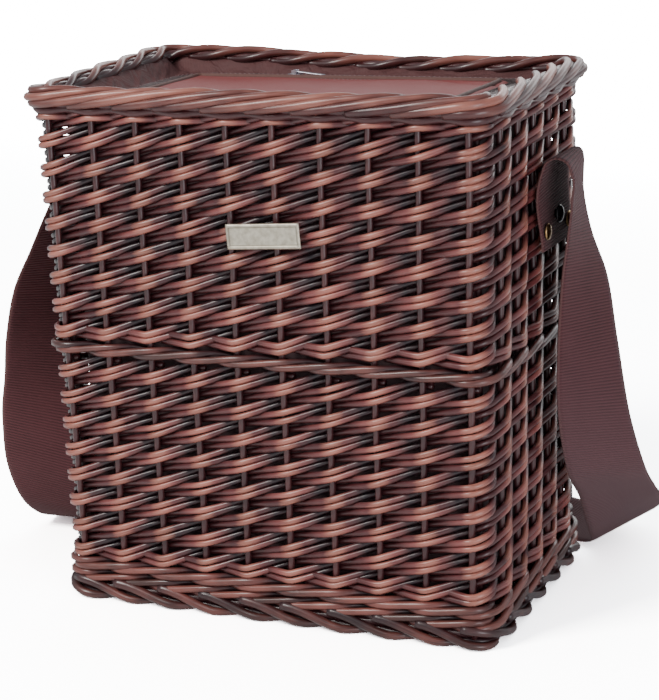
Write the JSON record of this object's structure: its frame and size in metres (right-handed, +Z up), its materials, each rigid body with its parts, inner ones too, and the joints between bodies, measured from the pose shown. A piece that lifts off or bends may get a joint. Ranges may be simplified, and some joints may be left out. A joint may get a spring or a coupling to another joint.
{
  "type": "willow cooler basket",
  "caption": "Tall rectangular woven willow basket with an insulated cooler liner, a zipped soft lid and a webbing shoulder strap that lies behind it.",
  "frame": {"origin": "middle of the foot, on the surface that the basket stands on", "axes": "+X along the front to the side where the near strap leg hangs, -Y out of the front with the plate, +Z up"},
  "size_m": [0.4356, 0.2548, 0.3242],
  "materials": {
    "willow": "satin, dark stained",
    "liner_fabric": "matte weave",
    "foam": "closed cell foam, matte",
    "lining": "smooth waterproof film",
    "lid_fabric": "smooth satin weave",
    "binding": "matte tape",
    "zip": "matte",
    "zip_tape": "matte ribbed tape",
    "zip_metal": "satin",
    "webbing": "matte ribbed webbing",
    "brass": "polished",
    "black_metal": "glossy",
    "steel": "satin",
    "plate_metal": "brushed"
  },
  "bodies": {
    "basket": {"foot_border": "willow", "bottom_wale": "willow", "lower_weave": "willow", "middle_wale": "willow", "upper_weave": "willow", "top_border": "willow", "stakes": "willow", "base_weave": "willow", "base_sticks": "willow", "liner_shell": "liner_fabric", "liner_border": "liner_fabric", "foam_floor": "foam", "foam_front": "foam", "foam_back": "foam", "foam_left": "foam", "foam_right": "foam", "liner_lining": "lining", "zip_tape": "zip_tape", "border_zip_teeth": "zip", "zip_stops": "zip_metal", "lid_hinge_strip": "binding", "strap_studs": "black_metal", "stud_washers": "steel", "front_plate": "plate_metal", "plate_pins": "steel"},
    "lid": {"lid_panel": "lid_fabric", "lid_foam": "foam", "lid_lining": "lining", "lid_binding": "binding", "lid_zip_teeth": "zip"},
    "slider": {"zip_slider": "zip_metal"},
    "pull": {"zip_pull": "zip_metal"},
    "strap": {"shoulder_strap": "webbing", "strap_rivets": "brass"}
  },
  "joints": [
    {"name": "lid_fold", "type": "hinge", "parent": "basket", "child": "lid", "pos_m": [0, -0.0614, 0.3126], "axis": [1, 0, 0], "range_deg": [0, 135]},
    {"name": "slider_run", "type": "slide", "parent": "lid", "child": "slider", "axis": [1, 0, 0], "range_m": [-0.057, 0.133]},
    {"name": "pull_turn", "type": "hinge", "parent": "slider", "child": "pull", "pos_m": [-0.038, 0.063, 0.3152], "axis": [0, -1, 0], "range_deg": [0, 165]},
    {"name": "strap_swing", "type": "hinge", "parent": "basket", "child": "strap", "pos_m": [0, 0.0165, 0.24], "axis": [1, 0, 0], "range_deg": [0, 160]}
  ]
}
